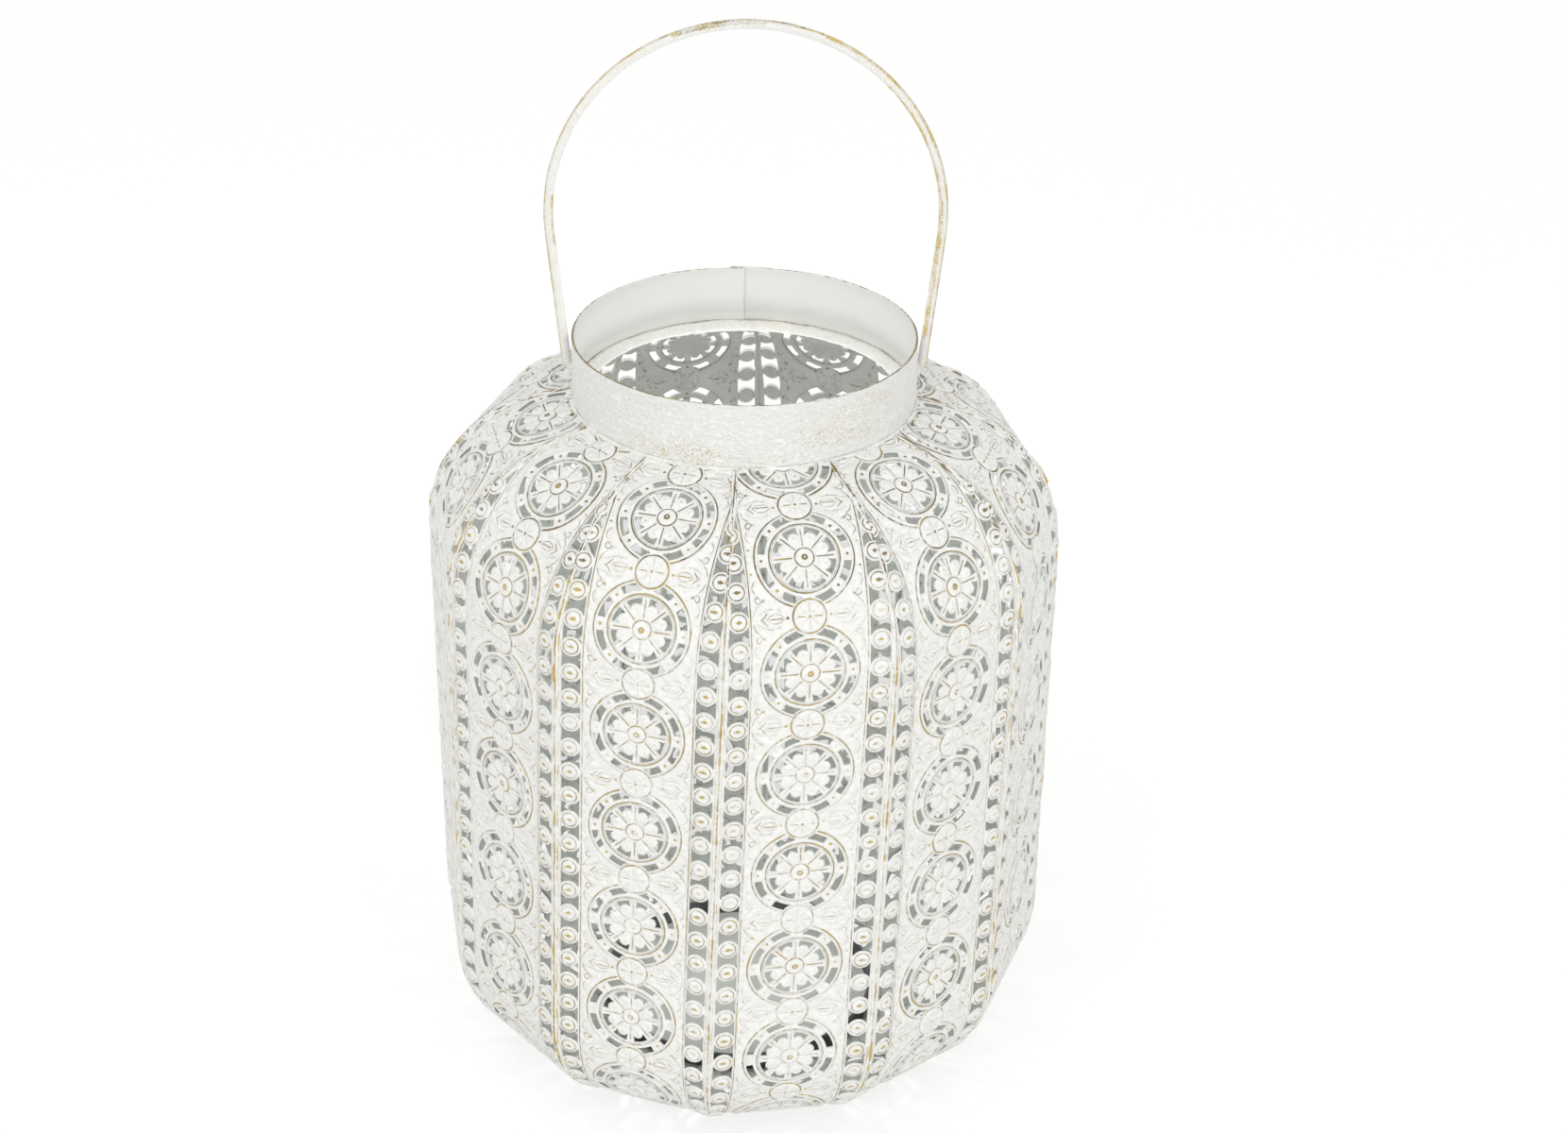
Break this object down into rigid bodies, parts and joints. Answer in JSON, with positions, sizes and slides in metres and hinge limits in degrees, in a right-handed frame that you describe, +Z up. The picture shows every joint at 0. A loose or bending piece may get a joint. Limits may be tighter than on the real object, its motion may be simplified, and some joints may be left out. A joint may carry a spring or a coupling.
{
  "type": "lantern",
  "caption": "Standing lantern with a pierced and pressed sheet-metal body, an open neck for the candle and an arched wire handle.",
  "frame": {"origin": "centre of the underside, on the surface that the lantern stands on", "axes": "+Z up along the axis of the body, X through the two ends of the handle, -Y toward the side that faces the viewer"},
  "size_m": [0.2372, 0.2372, 0.4138],
  "materials": {
    "white_paint": "matte white paint, rubbed to bare brown-gold metal on the raised lines and edges",
    "worn_paint": "matte white paint, worn along the wire and around the solder",
    "dark_metal": "dark unpainted inside of the foot, dull"
  },
  "bodies": {
    "root": {"panel_01": "white_paint", "panel_02": "white_paint", "panel_03": "white_paint", "panel_04": "white_paint", "panel_05": "white_paint", "panel_06": "white_paint", "panel_07": "white_paint", "panel_08": "white_paint", "panel_09": "white_paint", "panel_10": "white_paint", "panel_11": "white_paint", "panel_12": "white_paint", "shoulder_ring": "white_paint", "neck_band": "white_paint", "handle": "worn_paint", "weld_left": "worn_paint", "weld_right": "worn_paint", "base_plate": "dark_metal", "candle_rim": "dark_metal"}
  },
  "joints": []
}
